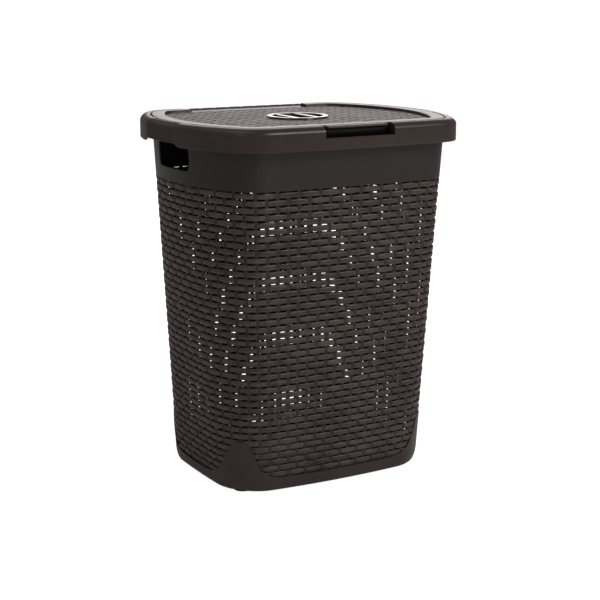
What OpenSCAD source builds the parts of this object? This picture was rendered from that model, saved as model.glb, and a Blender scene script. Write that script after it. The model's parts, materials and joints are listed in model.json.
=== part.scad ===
// Lidded hamper: a tapered moulded tub, a rim frame that snaps over its top edge,
// a lid that turns on two pins at the back, and a round grille in the middle of the lid.
// Front is -Y, up is +Z, and the origin is on the ground under the middle of the rim frame.

/* [Rim frame] */
// Width across the rim frame, left to right
rim_w = 448; // [444:1:452]
// Depth across the rim frame, front to back
rim_d = 372; // [368:1:376]
// Height of the rim frame's top above the ground
rim_top = 533.5; // [500:0.5:560]
// Height of the skirt that hangs outside the tub
skirt_h = 32.5; // [28:0.5:36]
// How much higher the skirt's lower edge is over the handles
grip_rise = 5; // [2:0.5:7]
// Width of the raised stretch of the skirt's lower edge
grip_w = 90; // [70:1:100]

/* [Tub] */
// Wall thickness of the tub
tub_wall = 2.5; // [2:0.1:3]
// Width of the tub at the ground
base_w = 341; // [335:1:347]
// Depth of the tub at the ground
base_d = 259; // [253:1:265]
// Width of the handle holes
handle_w = 100; // [80:1:110]
// Height of the handle holes
handle_h = 37; // [30:1:38]
// Corner radius of the handle holes
handle_r = 10; // [5:0.5:14]
// Height of the corner feet
foot_h = 2; // [1.5:0.1:3]

/* [Lid] */
// Width of the flat ring round the lid's woven panel
ring_w = 20; // [16:0.5:22]
// How far the woven panel lies below the ring
panel_drop = 4; // [3:0.5:4]
// Width of the front tab that lifts the lid
tab_w = 97; // [80:1:100]
// Width of the finger notch in the skirt, under the tab
notch_w = 112; // [106:1:120]
// Height of the finger notch, from the rim frame's top
notch_h = 16; // [14:0.5:20]
// Radius of the round grille's flange
grille_r = 46; // [42:1:50]

/* [Hinge] */
// Width of the cut-out at the back of the rim frame
hinge_w = 217; // [180:1:230]
// Radius of the hinge pins
pin_r = 2; // [1.8:0.1:2.2]
// Radius of the lid's hinge barrel
barrel_r = 4.5; // [4:0.1:4.8]
// Clearance between a pin and its hole in the barrel
pin_gap = 0.06; // [0.03:0.01:0.09]

/* [Hidden] */
plastic = "#3d322d";
eps = 0.5;
round_fn = 48;
grille_fn = 96;

// An outline is [half width, half depth, long arc radius, short arc radius, corner radius]
rim_line = [rim_w / 2, rim_d / 2, 2600, 302, 56];
base_line = [base_w / 2, base_d / 2, 1158, 1500, 66];
overhang = 19.5;
// Directions of the outline's points in one quarter: dense where an arc of large radius turns little
turns = [
  for (t = [0:1.2:3.6]) t,
  for (t = [8:4.6:31]) t,
  for (t = [38:7:80]) t,
  for (t = [84.4:1.4:87.2]) t,
  for (t = [88.2:0.9:89.1]) t
];

skirt_low = rim_top - skirt_h;
tub_line = inset(rim_line, overhang); // the tub's outline level with the skirt's lower edge
tub_top = rim_top - 9.5;
tub_flare = 1.6; // how far the tub still widens from the skirt's lower edge to its top

shell = 2.5; // wall of the rim frame and of the lid
shoulder_w = 13; // width of the rounded shoulder
shoulder_h = 9; // height of the rounded shoulder
riser_in = 15.2; // inset of the riser that faces the lid's edge
ledge_in = 25; // inset of the ledge's inner edge
ledge_drop = 7; // depth of the ledge below the rim frame's top
lip_drop = 20; // depth of the inner lip below the rim frame's top
cut_in = riser_in + 0.3; // how far the finger notch and the hinge cut-out reach in
riser_cut = 6; // depth of the stretch that is cleared above the ledge behind them
riser_left = 0.1; // height of the riser that stays there

lid_in = 16.8; // inset of the lid's edge
lid_rest = 0.3; // gap between the lid's edge and the ledge
lid_low = ledge_drop - lid_rest;
panel_in = lid_in + ring_w;
panel_under = panel_drop + shell;

axis_in = 8; // inset of the hinge axis from the rim frame's back
axis_y = rim_d / 2 - axis_in;
axis_z = rim_top - 5;
ear_w = 8.5; // thickness of the ears that hold the pins
side_gap = 2; // gap between the barrel and each ear
barrel_w = hinge_w - 2 * side_gap;
pin_l = 22;
pin_far = hinge_w / 2 + ear_w; // the pins' outer ends
bore_r = pin_r + pin_gap;

grille_y = -6;
grille_plug_r = 42;
grille_low = rim_top - 11;
bar_w = 14;
bar_x = 16;

// The outline moved inwards by d, which keeps all the arc centres
function inset(o, d) = [for (v = o) v - d];

// Two outlines blended: a at t = 0, b at t = 1
function blend(a, b, t) = a * (1 - t) + b * t;

// Centre of the corner arc, which touches the long arc and the short arc
function corner(o) =
  let (
    k1 = [0, o[1] - o[2]],
    k2 = [o[0] - o[3], 0],
    d1 = o[2] - o[4],
    d2 = o[3] - o[4],
    span = norm(k2 - k1),
    u = (k2 - k1) / span,
    s = (d1 * d1 - d2 * d2 + span * span) / (2 * span),
    h = sqrt(max(d1 * d1 - s * s, 0))
  ) k1 + u * s + [u[1], -u[0]] * h;

// The outline's point whose outward direction is t degrees from +X, for t from 0 to 90
function at_angle(o, t) =
  let (
    k1 = [0, o[1] - o[2]],
    k2 = [o[0] - o[3], 0],
    c = corner(o),
    t2 = atan2(c[1] - k2[1], c[0] - k2[0]),
    t1 = atan2(c[1] - k1[1], c[0] - k1[0]),
    u = [cos(t), sin(t)]
  ) t < t2 ? k2 + o[3] * u : t < t1 ? c + o[4] * u : k1 + o[2] * u;

// The whole outline, anticlockwise from above
function loop(o) =
  let (q = [for (t = turns) at_angle(o, t)], m = len(q))
  concat(
    q, [[0, o[1]]],
    [for (i = [m - 1:-1:1]) [-q[i][0], q[i][1]]], [[-o[0], 0]],
    [for (i = [1:m - 1]) -q[i]], [[0, -o[1]]],
    [for (i = [m - 1:-1:1]) [q[i][0], -q[i][1]]]
  );

function ring(o, z) = [for (p = loop(o)) [p[0], p[1], z]];

// A skin over a list of rings: capped at both ends, or closed round on itself
module skin(rings, closed = false) {
  m = len(rings);
  n = len(rings[0]);
  last = closed ? m - 1 : m - 2;
  sides = [
    for (j = [0:last], i = [0:n - 1])
      let (a = j * n, b = ((j + 1) % m) * n, k = (i + 1) % n)
      each [[a + i, b + i, b + k], [a + i, b + k, a + k]]
  ];
  caps = closed ? [] : [
    [for (i = [0:n - 1]) i],
    [for (i = [n - 1:-1:0]) (m - 1) * n + i]
  ];
  polyhedron(points = [for (r = rings) each r], faces = concat(sides, caps), convexity = 10);
}

// A rounded window that runs along X, w wide in Y and h high in Z, on the point y = 0, z = 0
module window(w, h, r, length) {
  for (y = [-1, 1], z = [-1, 1])
    translate([0, y * (w / 2 - r), z * (h / 2 - r)])
      rotate([0, 90, 0]) cylinder(r = r, h = length, center = true, $fn = round_fn);
  cube([length, w, h - 2 * r], center = true);
  cube([length, w - 2 * r, h], center = true);
}

function tub_at(z, d) = ring(inset(blend(base_line, tub_line, min(z / skirt_low, 1)), d), z);

module tub() {
  floor_t = 3;
  low_round = 3; // how far the wall is drawn in at its lower edge
  handle_up = 1.5; // how far the handle holes reach up behind the skirt
  foot_r = 13;
  foot_in = 4; // from the wall to a foot
  foot_dir = [0.75, 0.66]; // outward direction at the middle of a corner
  floor_z = foot_h + floor_t;
  handle_z = skirt_low + handle_up - handle_h / 2;
  foot_c = corner(base_line) + (base_line[4] - foot_r - foot_in) * foot_dir;
  color(plastic) {
    difference() {
      skin([
        tub_at(foot_h, low_round),
        tub_at(foot_h + low_round / 3, 0.3 * low_round),
        tub_at(foot_h + low_round, 0),
        tub_at(skirt_low, 0),
        tub_at(tub_top, -tub_flare),
        tub_at(tub_top, tub_wall - tub_flare),
        tub_at(skirt_low, tub_wall),
        tub_at(floor_z + low_round, tub_wall),
        tub_at(floor_z, tub_wall + low_round)
      ]);
      translate([0, 0, handle_z]) window(handle_w, handle_h, handle_r, rim_w);
    }
    for (x = [-1, 1], y = [-1, 1])
      translate([x * foot_c[0], y * foot_c[1], 0])
        cylinder(r = foot_r, h = foot_h, $fn = round_fn);
  }
}

// The rim frame's section, as [inset, height from its top], from the skirt's lower edge over the top
shoulder_steps = 6;
outer_shoulder = [
  for (i = [0:shoulder_steps]) let (t = 90 * i / shoulder_steps)
    [shoulder_w * (1 - cos(t)), shoulder_h * (sin(t) - 1)]
];
inner_shoulder = [
  for (i = [shoulder_steps:-2:0]) let (t = 90 * i / shoulder_steps)
    [shell + (shoulder_w - shell) * (1 - cos(t)), (shoulder_h - shell) * sin(t) - shoulder_h]
];
frame_section = concat(
  [[0, -skirt_h]],
  outer_shoulder,
  [
    [riser_in - 1, -0.2],
    [riser_in, -1.2],
    [riser_in, -ledge_drop],
    [ledge_in, -ledge_drop],
    [ledge_in, -lip_drop],
    [ledge_in - shell, -lip_drop],
    [ledge_in - shell, -ledge_drop - shell],
    [riser_in - shell + 0.3, -ledge_drop - shell],
    [riser_in - shell + 0.3, -shell]
  ],
  inner_shoulder,
  [[shell, -skirt_h]]
);

module rim_frame() {
  ear_d = 9.4;
  ear_front = 4.4; // from the ears' front to the hinge axis
  ear_low = 11.4; // depth of the ears' lower ends below the rim frame's top
  ear_h = 8;
  barrel_floor = axis_z - barrel_r - 1;
  color(plastic)
    difference() {
      union() {
        difference() {
          skin([for (p = frame_section) ring(inset(rim_line, p[0]), rim_top + p[1])], closed = true);
          // finger notch at the front
          translate([-notch_w / 2, -rim_d / 2 - eps, rim_top - notch_h])
            cube([notch_w, cut_in + eps, notch_h + eps]);
          // cut-out for the hinge barrel at the back
          translate([-hinge_w / 2, rim_d / 2 - cut_in, barrel_floor])
            cube([hinge_w, cut_in + eps, rim_top - barrel_floor + eps]);
          // the riser is gone behind both, so that the lid's tab and hinge flange pass over the ledge
          for (cut = [[-1, notch_w], [1, hinge_w]])
            translate([0, cut[0] * (rim_d / 2 - riser_in), rim_top - ledge_drop / 2 + riser_left])
              cube([cut[1], riser_cut, ledge_drop], center = true);
          // raised lower edge over the handles
          translate([-rim_w / 2 - eps, -grip_w / 2, skirt_low - eps])
            cube([rim_w + 2 * eps, grip_w, grip_rise + eps]);
        }
        for (side = [-1, 1])
          translate([side * (hinge_w + ear_w) / 2 - ear_w / 2, axis_y - ear_front, rim_top - ear_low])
            cube([ear_w, ear_d, ear_h]);
      }
      rotate_x(axis_y, axis_z)
        cylinder(r = pin_r, h = 2 * pin_far, center = true, $fn = round_fn);
    }
}

// Lays a Z axis shape along X, through the point y, z
module rotate_x(y, z) {
  translate([0, y, z]) rotate([0, 90, 0]) children();
}

lid_section = [
  [panel_in - shell, -panel_under],
  [panel_in - shell, -shell],
  [lid_in + shell, -shell],
  [lid_in + shell, -lid_low],
  [lid_in, -lid_low],
  [lid_in, -1.6],
  [lid_in + 0.5, -0.6],
  [lid_in + 1.6, 0],
  [panel_in - 1, 0],
  [panel_in, -1],
  [panel_in + 0.6, -panel_drop]
];

module lid() {
  back_w = barrel_w - 8;
  flange_top = rim_top - panel_drop;
  flange_y = rim_d / 2 - panel_in + 1;
  cut_h = 10; // height of the cut that ends the ring
  tab_r = 4;
  tab_in = 11; // inset of the middle of the tab's nose
  tab_step = 1.9; // how far the nose hangs below the tab's flat part
  tab_y = -rim_d / 2 + tab_in;
  tab_z = rim_top - 4.6;
  color(plastic)
    difference() {
      union() {
        difference() {
          skin([for (p = lid_section) ring(inset(rim_line, p[0]), rim_top + p[1])]);
          // the ring stops short of the hinge flange
          translate([-back_w / 2, flange_y, rim_top - cut_h])
            cube([back_w, ring_w + eps, cut_h + eps]);
        }
        // hinge flange and barrel
        translate([-back_w / 2, flange_y - 1, flange_top - shell])
          cube([back_w, axis_y - flange_y + 1, shell]);
        rotate_x(axis_y, axis_z)
          cylinder(r = barrel_r, h = barrel_w, center = true, $fn = round_fn);
        // front tab with a round nose
        rotate_x(tab_y, tab_z)
          cylinder(r = tab_r, h = tab_w, center = true, $fn = round_fn);
        translate([-tab_w / 2, tab_y, tab_z - tab_r + tab_step])
          cube([tab_w, lid_in - tab_in + 2, 2 * tab_r - tab_step]);
      }
      rotate_x(axis_y, axis_z)
        for (side = [-1, 1])
          translate([0, 0, side * barrel_w / 2])
            cylinder(r = bore_r, h = 2 * pin_l - 2 * ear_w, center = true, $fn = round_fn);
      translate([0, grille_y, grille_low - eps])
        cylinder(r = grille_plug_r, h = rim_top - grille_low + 2 * eps, $fn = grille_fn);
    }
}

module lid_grille() {
  panel_z = rim_top - panel_drop;
  ring_in = 38;
  ring_h = 3; // height of the raised ring above the panel
  soft = 1.6; // chamfer of the raised ring
  floor_t = 2;
  floor_z = grille_low + floor_t;
  bar_low = floor_z - 0.2; // the bars reach a little into the floor
  bar_end = 4; // from the ring to the ends of the bars
  color(plastic)
    translate([0, grille_y, 0]) {
      rotate_extrude($fn = grille_fn)
        polygon([
          [0, grille_low], [grille_plug_r, grille_low], [grille_plug_r, panel_z],
          [grille_r, panel_z], [grille_r, panel_z + ring_h - 0.9 * soft],
          [grille_r - soft, panel_z + ring_h], [ring_in + soft, panel_z + ring_h],
          [ring_in, panel_z + ring_h - 0.9 * soft], [ring_in, floor_z], [0, floor_z]
        ]);
      for (x = [-1, 1])
        translate([x * bar_x - bar_w / 2, bar_end - ring_in, bar_low])
          cube([bar_w, 2 * (ring_in - bar_end), panel_z + ring_h / 2 - bar_low]);
    }
}

module hinge_pin() {
  rotate([0, 90, 0]) cylinder(r = pin_r, h = pin_l, $fn = round_fn);
}

module hinge_pin_left() {
  color("#2b2421") translate([-pin_far, axis_y, axis_z]) hinge_pin();
}

module hinge_pin_right() {
  color("#2b2421") translate([pin_far - pin_l, axis_y, axis_z]) hinge_pin();
}

tub();
rim_frame();
lid();
lid_grille();
hinge_pin_left();
hinge_pin_right();
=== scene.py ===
import json
import math

import bpy
import numpy as np
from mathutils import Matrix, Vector

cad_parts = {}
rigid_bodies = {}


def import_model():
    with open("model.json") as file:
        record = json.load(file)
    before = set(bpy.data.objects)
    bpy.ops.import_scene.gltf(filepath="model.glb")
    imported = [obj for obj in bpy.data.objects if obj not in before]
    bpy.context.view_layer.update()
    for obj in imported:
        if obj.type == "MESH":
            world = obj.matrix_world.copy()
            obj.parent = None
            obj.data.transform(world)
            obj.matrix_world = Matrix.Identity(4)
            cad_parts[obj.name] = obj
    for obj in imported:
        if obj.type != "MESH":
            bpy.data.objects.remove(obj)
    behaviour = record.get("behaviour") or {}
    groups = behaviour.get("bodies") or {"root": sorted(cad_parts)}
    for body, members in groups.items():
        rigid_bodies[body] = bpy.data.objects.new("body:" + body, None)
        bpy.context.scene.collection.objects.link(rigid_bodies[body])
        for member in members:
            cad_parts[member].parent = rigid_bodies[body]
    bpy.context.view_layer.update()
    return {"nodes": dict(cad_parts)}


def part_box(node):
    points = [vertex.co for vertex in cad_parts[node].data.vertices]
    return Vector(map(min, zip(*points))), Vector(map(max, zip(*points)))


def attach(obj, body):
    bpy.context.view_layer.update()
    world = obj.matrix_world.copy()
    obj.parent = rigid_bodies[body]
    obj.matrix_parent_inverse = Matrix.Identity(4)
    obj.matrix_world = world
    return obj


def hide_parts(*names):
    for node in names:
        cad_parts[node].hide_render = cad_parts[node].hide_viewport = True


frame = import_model()
print("frame loaded")

# Everything is in metres: front is -Y, up is +Z, and the ground is z = 0
mm = 0.001
quarterTurn = math.pi / 2
hair = 0.05 * mm  # distance between two columns where a cut-out begins
basketBody = "basket"
lidBody = "lid_body"

rimLow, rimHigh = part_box("rim_frame")
rimTop = rimHigh.z
skirtLow = rimLow.z
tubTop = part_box("tub")[1].z

# An outline is [half width, half depth, long arc radius, short arc radius, corner radius]
rimLine = np.array([rimHigh.x, rimHigh.y, 2.6, 0.302, 0.056])
tubLine = rimLine - 19.5 * mm  # the tub level with the skirt's lower edge
baseLine = np.array([0.1705, 0.1295, 1.158, 1.5, 0.066])
tubFlare = 0.07  # how far the tub widens for each metre above the skirt's lower edge


# Outlines and the tub's wall

def arcJoins(line):
    # The corner arc touches both long arcs, so its centre is their radius less its own away from
    # each of their centres. Gives the three centres and the outward directions where arcs meet.
    halfWidth, halfDepth, longArc, shortArc, corner = line
    longCentre = np.array([0, halfDepth - longArc])
    shortCentre = np.array([halfWidth - shortArc, 0])
    longReach, shortReach = longArc - corner, shortArc - corner
    span = np.hypot(*(shortCentre - longCentre))
    along = (shortCentre - longCentre) / span
    step = (longReach ** 2 - shortReach ** 2 + span ** 2) / (2 * span)
    side = math.sqrt(longReach ** 2 - step ** 2)
    centre = longCentre + along * step + np.array([along[1], -along[0]]) * side
    first = math.atan2(centre[1] - shortCentre[1], centre[0] - shortCentre[0])
    second = math.atan2(centre[1] - longCentre[1], centre[0] - longCentre[0])
    return longCentre, shortCentre, centre, first, second


def arcRadius(line, fold):
    # Radius of the arc that holds the outward direction, for directions in the first quarter
    first, second = arcJoins(line)[3:]
    return np.where(fold < first, line[3], np.where(fold < second, line[4], line[2]))


def edgeAt(line, turn):
    # The arc's centre plus its radius times (cos, sin) of the outward direction, worked out in the
    # first quarter and mirrored into the others
    longCentre, shortCentre, centre, first, second = arcJoins(line)
    cosTurn, sinTurn = np.cos(turn), np.sin(turn)
    fold = np.arctan2(np.abs(sinTurn), np.abs(cosTurn))
    radius = arcRadius(line, fold)
    middleX = np.where(fold < first, shortCentre[0], np.where(fold < second, centre[0], 0))
    middleY = np.where(fold < first, 0, np.where(fold < second, centre[1], longCentre[1]))
    x = (middleX + radius * np.abs(cosTurn)) * np.sign(cosTurn)
    y = (middleY + radius * np.abs(sinTurn)) * np.sign(sinTurn)
    return x, y


def quarterArcs(rise):
    # One quarter of the wall's outline at a share `rise` of the skirt's height: the directions
    # where its arcs meet, and the length along the outline up to each of them
    joins = [0, *arcJoins(baseLine)[3:], *arcJoins(tubLine)[3:], quarterTurn]
    joins = np.array(sorted(joins))
    middle = (joins[1:] + joins[:-1]) / 2
    radius = (1 - rise) * arcRadius(baseLine, middle) + rise * arcRadius(tubLine, middle)
    return joins, np.concatenate([[0], np.cumsum(radius * np.diff(joins))])


def turnAt(share, rise):
    # Outward direction at a share of the way round: length along an arc is radius times turn, so
    # share to turn is a run of straight stretches, folded back in every second quarter
    joins, length = quarterArcs(rise)
    quarter = np.floor(share * 4)
    part = share * 4 - quarter
    back = quarter % 2 == 1
    fold = np.interp(np.where(back, 1 - part, part) * length[-1], length, joins)
    return quarter * quarterTurn + np.where(back, quarterTurn - fold, fold)


def wallAt(turn, z, out):
    # The base outline's point and the top outline's point with the same outward direction are
    # joined by a straight line, and `out` moves the point outwards along that direction
    rise = np.minimum(z / skirtLow, 1)
    lowX, lowY = edgeAt(baseLine, turn)
    highX, highY = edgeAt(tubLine, turn)
    push = out + np.maximum(z - skirtLow, 0) * tubFlare
    x = (1 - rise) * lowX + rise * highX + push * np.cos(turn)
    y = (1 - rise) * lowY + rise * highY + push * np.sin(turn)
    return np.stack(np.broadcast_arrays(x, y, z), -1)


def turnAtDepth(y, z):
    # Direction at which the right hand wall passes a given y: from the short arc's own direction,
    # each step turns by what is missing in y over a fixed radius a little longer than the wall's
    stepRadius, steps = 0.34, 14
    turn = np.arcsin(y / tubLine[3])
    for _ in range(steps):
        turn = turn - (wallAt(turn, z, 0)[..., 1] - y) / stepRadius
    return turn


def smooth(value, start, end):
    # 0 before start, 1 after end, with a soft S between them
    t = np.clip((value - start) / (end - start), 0, 1)
    return t * t * (3 - 2 * t)


def dip(phase, halfLength):
    # A soft bump, 1 where the phase is 1 and 0 at half a length from there: t squared times (3 - 2t)
    t = np.clip(1 - np.abs(phase - 1) / halfLength, 0, 1)
    return t * t * (3 - 2 * t)


# Meshes

def gridFaces(rows, columns, closeRows=False, closeColumns=False):
    # Four-sided faces over a grid of points numbered row by row; a closed way joins last to first
    row = np.arange(rows if closeRows else rows - 1)[:, None]
    column = np.arange(columns if closeColumns else columns - 1)[None]
    nextRow, nextColumn = (row + 1) % rows, (column + 1) % columns
    corners = [row * columns + column, row * columns + nextColumn,
               nextRow * columns + nextColumn, nextRow * columns + column]
    return np.stack(corners, -1).reshape(-1, 4)


def faceOut(points, faces):
    # Turns the faces round if the volume that they close is negative
    a, b, c, d = (points[faces[:, i]] - points.mean(0) for i in range(4))
    volume = (np.cross(c - a, d - b) * (a + b + c + d)).sum()
    return faces if volume > 0 else faces[:, ::-1]


def sheet(points, closeRows=False, closeColumns=False):
    rows, columns = points.shape[:2]
    flat = points.reshape(-1, 3)
    return flat, faceOut(flat, gridFaces(rows, columns, closeRows, closeColumns)).tolist()


def faceAway(points, faces, axis, side):
    # The shell with its faces turned so that they look along one axis, to the given side
    a, b, c, d = (points[faces[:, i]] for i in range(4))
    outwards = (np.cross(c - a, d - b)[:, axis] * side).sum() > 0
    return points, (faces if outwards else faces[:, ::-1]).tolist()


def bar(points):
    # A closed section carried along a path, one row of points for each section, with both ends capped
    rows, columns = points.shape[:2]
    flat = points.reshape(-1, 3)
    sides = gridFaces(rows, columns, False, True)
    faces = faceOut(flat, sides)
    ends = [list(range(columns - 1, -1, -1)), list(range((rows - 1) * columns, rows * columns))]
    if faces is not sides:
        ends = [end[::-1] for end in ends]
    # a side face runs from one section to the next, so the caps turn the other way
    return flat, faces.tolist() + [end[::-1] for end in ends]


def piece(name, shells, material, body, sharpAngle=40, merge=0, paintedShade=None):
    points, faces, count = [], [], 0
    for shellPoints, shellFaces in shells:
        points.append(shellPoints)
        faces += [[i + count for i in face] for face in shellFaces] if count else shellFaces
        count += len(shellPoints)
    mesh = bpy.data.meshes.new(name)
    mesh.from_pydata(np.concatenate(points), [], faces)
    # painted shade: the per-point values become a mesh attribute, which the material reads to paint those
    # points near black as shade
    if paintedShade is not None:
        depth = mesh.attributes.new("paintedShade", "FLOAT", "POINT")
        depth.data.foreach_set("value", np.resize(paintedShade, count).astype(np.float32))
    made = bpy.data.objects.new(name, mesh)
    bpy.context.scene.collection.objects.link(made)
    if merge:
        weld = made.modifiers.new("weld", "WELD")
        weld.merge_threshold = merge
        bpy.context.view_layer.update()
        evaluated = made.evaluated_get(bpy.context.evaluated_depsgraph_get())
        made.data = bpy.data.meshes.new_from_object(evaluated)
        made.modifiers.clear()
        bpy.data.meshes.remove(mesh)
        made.data.name = name
    made.data.shade_smooth()
    made.data.set_sharp_from_angle(angle=math.radians(sharpAngle))
    made.data.materials.append(material)
    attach(made, body)
    return made


def thicken(made, thickness, bevel=0, segments=2):
    # Thickness grows inwards from the outer face, and a small bevel softens the edges
    solid = made.modifiers.new("thickness", "SOLIDIFY")
    solid.thickness = thickness
    solid.offset = -1
    if bevel:
        edge = made.modifiers.new("edge", "BEVEL")
        edge.width = bevel
        edge.segments = segments
        edge.limit_method = "ANGLE"
        edge.angle_limit = math.radians(50)
        edge.harden_normals = True


def arc(centreX, centreY, radiusX, radiusY, start, end, steps):
    # Points of a quarter ellipse or arc as (centre + radius times cos, centre + radius times sin)
    t = np.radians(np.linspace(start, end, steps + 1))
    return np.stack([centreX + radiusX * np.cos(t), centreY + radiusY * np.sin(t)], -1)


# Materials

def newGroup(name, inputs, outputs):
    group = bpy.data.node_groups.new(name, "ShaderNodeTree")
    for label, kind, value in inputs:
        socket = group.interface.new_socket(label, in_out="INPUT", socket_type=kind)
        if value is not None:
            socket.default_value = value
    for label, kind in outputs:
        group.interface.new_socket(label, in_out="OUTPUT", socket_type=kind)
    return group, group.nodes.new("NodeGroupInput"), group.nodes.new("NodeGroupOutput")


def addNode(tree, kind, values=None, **settings):
    node = tree.nodes.new(kind)
    for key, value in settings.items():
        setattr(node, key, value)
    for key, value in (values or {}).items():
        node.inputs[key].default_value = value
    return node


# painted shade: the near black painted into the finger pocket, the slot sides and the tab's underside,
# standing in for the shade there
paintedShadeColor = (0.0012, 0.0009, 0.0008, 1)  # the near black of deep, shaded places


def plasticGroup():
    # Moulded plastic: cloudy colour between two browns, streaks and upright ribs, fine grain, painted shade
    # (near black) where the surface is marked as shaded, and small scuffs that change the roughness
    group, given, result = newGroup(
        "mouldedPlastic",
        [("Vector", "NodeSocketVector", None), ("Dark", "NodeSocketColor", (0.02, 0.015, 0.012, 1)),
         ("Light", "NodeSocketColor", (0.04, 0.03, 0.026, 1)), ("Cloud Scale", "NodeSocketFloat", 14),
         ("Streak", "NodeSocketFloat", 0.3), ("Grain Scale", "NodeSocketFloat", 900),
         ("Roughness", "NodeSocketFloat", 0.4), ("Spread", "NodeSocketFloat", 0.15),
         ("Shade", "NodeSocketFloat", 0.0)],
        [("Color", "NodeSocketColor"), ("Roughness", "NodeSocketFloat"), ("Height", "NodeSocketFloat")])
    link = group.links.new
    place = addNode(group, "ShaderNodeTexCoord")
    cloud = addNode(group, "ShaderNodeTexNoise", {"Detail": 4, "Roughness": 0.6})
    link(place.outputs["Object"], cloud.inputs["Vector"])
    link(given.outputs["Cloud Scale"], cloud.inputs["Scale"])
    streak = addNode(group, "ShaderNodeTexNoise", {"Scale": 1, "Detail": 3, "Roughness": 0.55})
    link(given.outputs["Vector"], streak.inputs["Vector"])
    grain = addNode(group, "ShaderNodeTexNoise", {"Detail": 2})
    link(place.outputs["Object"], grain.inputs["Vector"])
    link(given.outputs["Grain Scale"], grain.inputs["Scale"])
    scuff = addNode(group, "ShaderNodeTexNoise", {"Scale": 60, "Detail": 6, "Roughness": 0.7})
    link(place.outputs["Object"], scuff.inputs["Vector"])
    across = addNode(group, "ShaderNodeMapping", {"Scale": (1, 1, 0.12)})
    link(place.outputs["Object"], across.inputs["Vector"])
    ribs = addNode(group, "ShaderNodeTexNoise", {"Scale": 420, "Detail": 2, "Roughness": 0.6})
    link(across.outputs["Vector"], ribs.inputs["Vector"])
    fibres = addNode(group, "ShaderNodeMix", {"Factor": 0.35}, data_type="FLOAT")
    link(streak.outputs["Fac"], fibres.inputs["A"])
    link(ribs.outputs["Fac"], fibres.inputs["B"])
    # share of the light brown: cloud, pulled towards the streaks and ribs by the Streak amount
    blend = addNode(group, "ShaderNodeMix", data_type="FLOAT")
    link(given.outputs["Streak"], blend.inputs["Factor"])
    link(cloud.outputs["Fac"], blend.inputs["A"])
    link(fibres.outputs["Result"], blend.inputs["B"])
    share = addNode(group, "ShaderNodeMapRange", {"From Min": 0.37, "From Max": 0.63})
    link(blend.outputs["Result"], share.inputs["Value"])
    tint = addNode(group, "ShaderNodeMix", data_type="RGBA")
    link(share.outputs["Result"], tint.inputs["Factor"])
    link(given.outputs["Dark"], tint.inputs["A"])
    link(given.outputs["Light"], tint.inputs["B"])
    dim = addNode(group, "ShaderNodeMix", data_type="RGBA")
    link(given.outputs["Shade"], dim.inputs["Factor"])
    link(tint.outputs["Result"], dim.inputs["A"])
    dim.inputs["B"].default_value = paintedShadeColor
    link(dim.outputs["Result"], result.inputs["Color"])
    # roughness: base value plus a share of the scuffs
    centred = addNode(group, "ShaderNodeMath", {1: 0.5}, operation="SUBTRACT")
    link(scuff.outputs["Fac"], centred.inputs[0])
    rough = addNode(group, "ShaderNodeMath", operation="MULTIPLY_ADD")
    link(centred.outputs[0], rough.inputs[0])
    link(given.outputs["Spread"], rough.inputs[1])
    link(given.outputs["Roughness"], rough.inputs[2])
    link(rough.outputs[0], result.inputs["Roughness"])
    # height: fine grain and streaks
    relief = addNode(group, "ShaderNodeMath", operation="MULTIPLY_ADD")
    link(streak.outputs["Fac"], relief.inputs[0])
    link(given.outputs["Streak"], relief.inputs[1])
    link(grain.outputs["Fac"], relief.inputs[2])
    link(relief.outputs[0], result.inputs["Height"])
    return group


def plastic(name, group, look):
    material = bpy.data.materials.new(name)
    material.use_nodes = True
    tree = material.node_tree
    shader = tree.nodes["Principled BSDF"]
    place = addNode(tree, "ShaderNodeTexCoord")
    stretch = addNode(tree, "ShaderNodeMapping", {"Scale": look["streakScale"]})
    tree.links.new(place.outputs["Object"], stretch.inputs["Vector"])
    body = addNode(tree, "ShaderNodeGroup", node_tree=group)
    tree.links.new(stretch.outputs["Vector"], body.inputs["Vector"])
    body.inputs["Dark"].default_value = (*look["dark"], 1)
    body.inputs["Light"].default_value = (*look["light"], 1)
    for label, key in (("Cloud Scale", "cloudScale"), ("Streak", "streak"), ("Grain Scale", "grainScale"),
                       ("Roughness", "roughness"), ("Spread", "spread")):
        body.inputs[label].default_value = look[key]
    # painted shade: the mesh attribute pulls the base colour towards near black where it is set
    paintedShade = addNode(tree, "ShaderNodeAttribute", attribute_name="paintedShade")
    tree.links.new(paintedShade.outputs["Fac"], body.inputs["Shade"])
    bump = addNode(tree, "ShaderNodeBump", {"Strength": look["bump"], "Distance": look["bumpHeight"]})
    tree.links.new(body.outputs["Height"], bump.inputs["Height"])
    tree.links.new(body.outputs["Color"], shader.inputs["Base Color"])
    tree.links.new(body.outputs["Roughness"], shader.inputs["Roughness"])
    tree.links.new(bump.outputs["Normal"], shader.inputs["Normal"])
    shader.inputs["IOR"].default_value = 1.49
    shader.inputs["Specular IOR Level"].default_value = look["specular"]
    shader.inputs["Coat Weight"].default_value = look["coat"]
    shader.inputs["Coat Roughness"].default_value = look["coatRoughness"]
    return material


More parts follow.
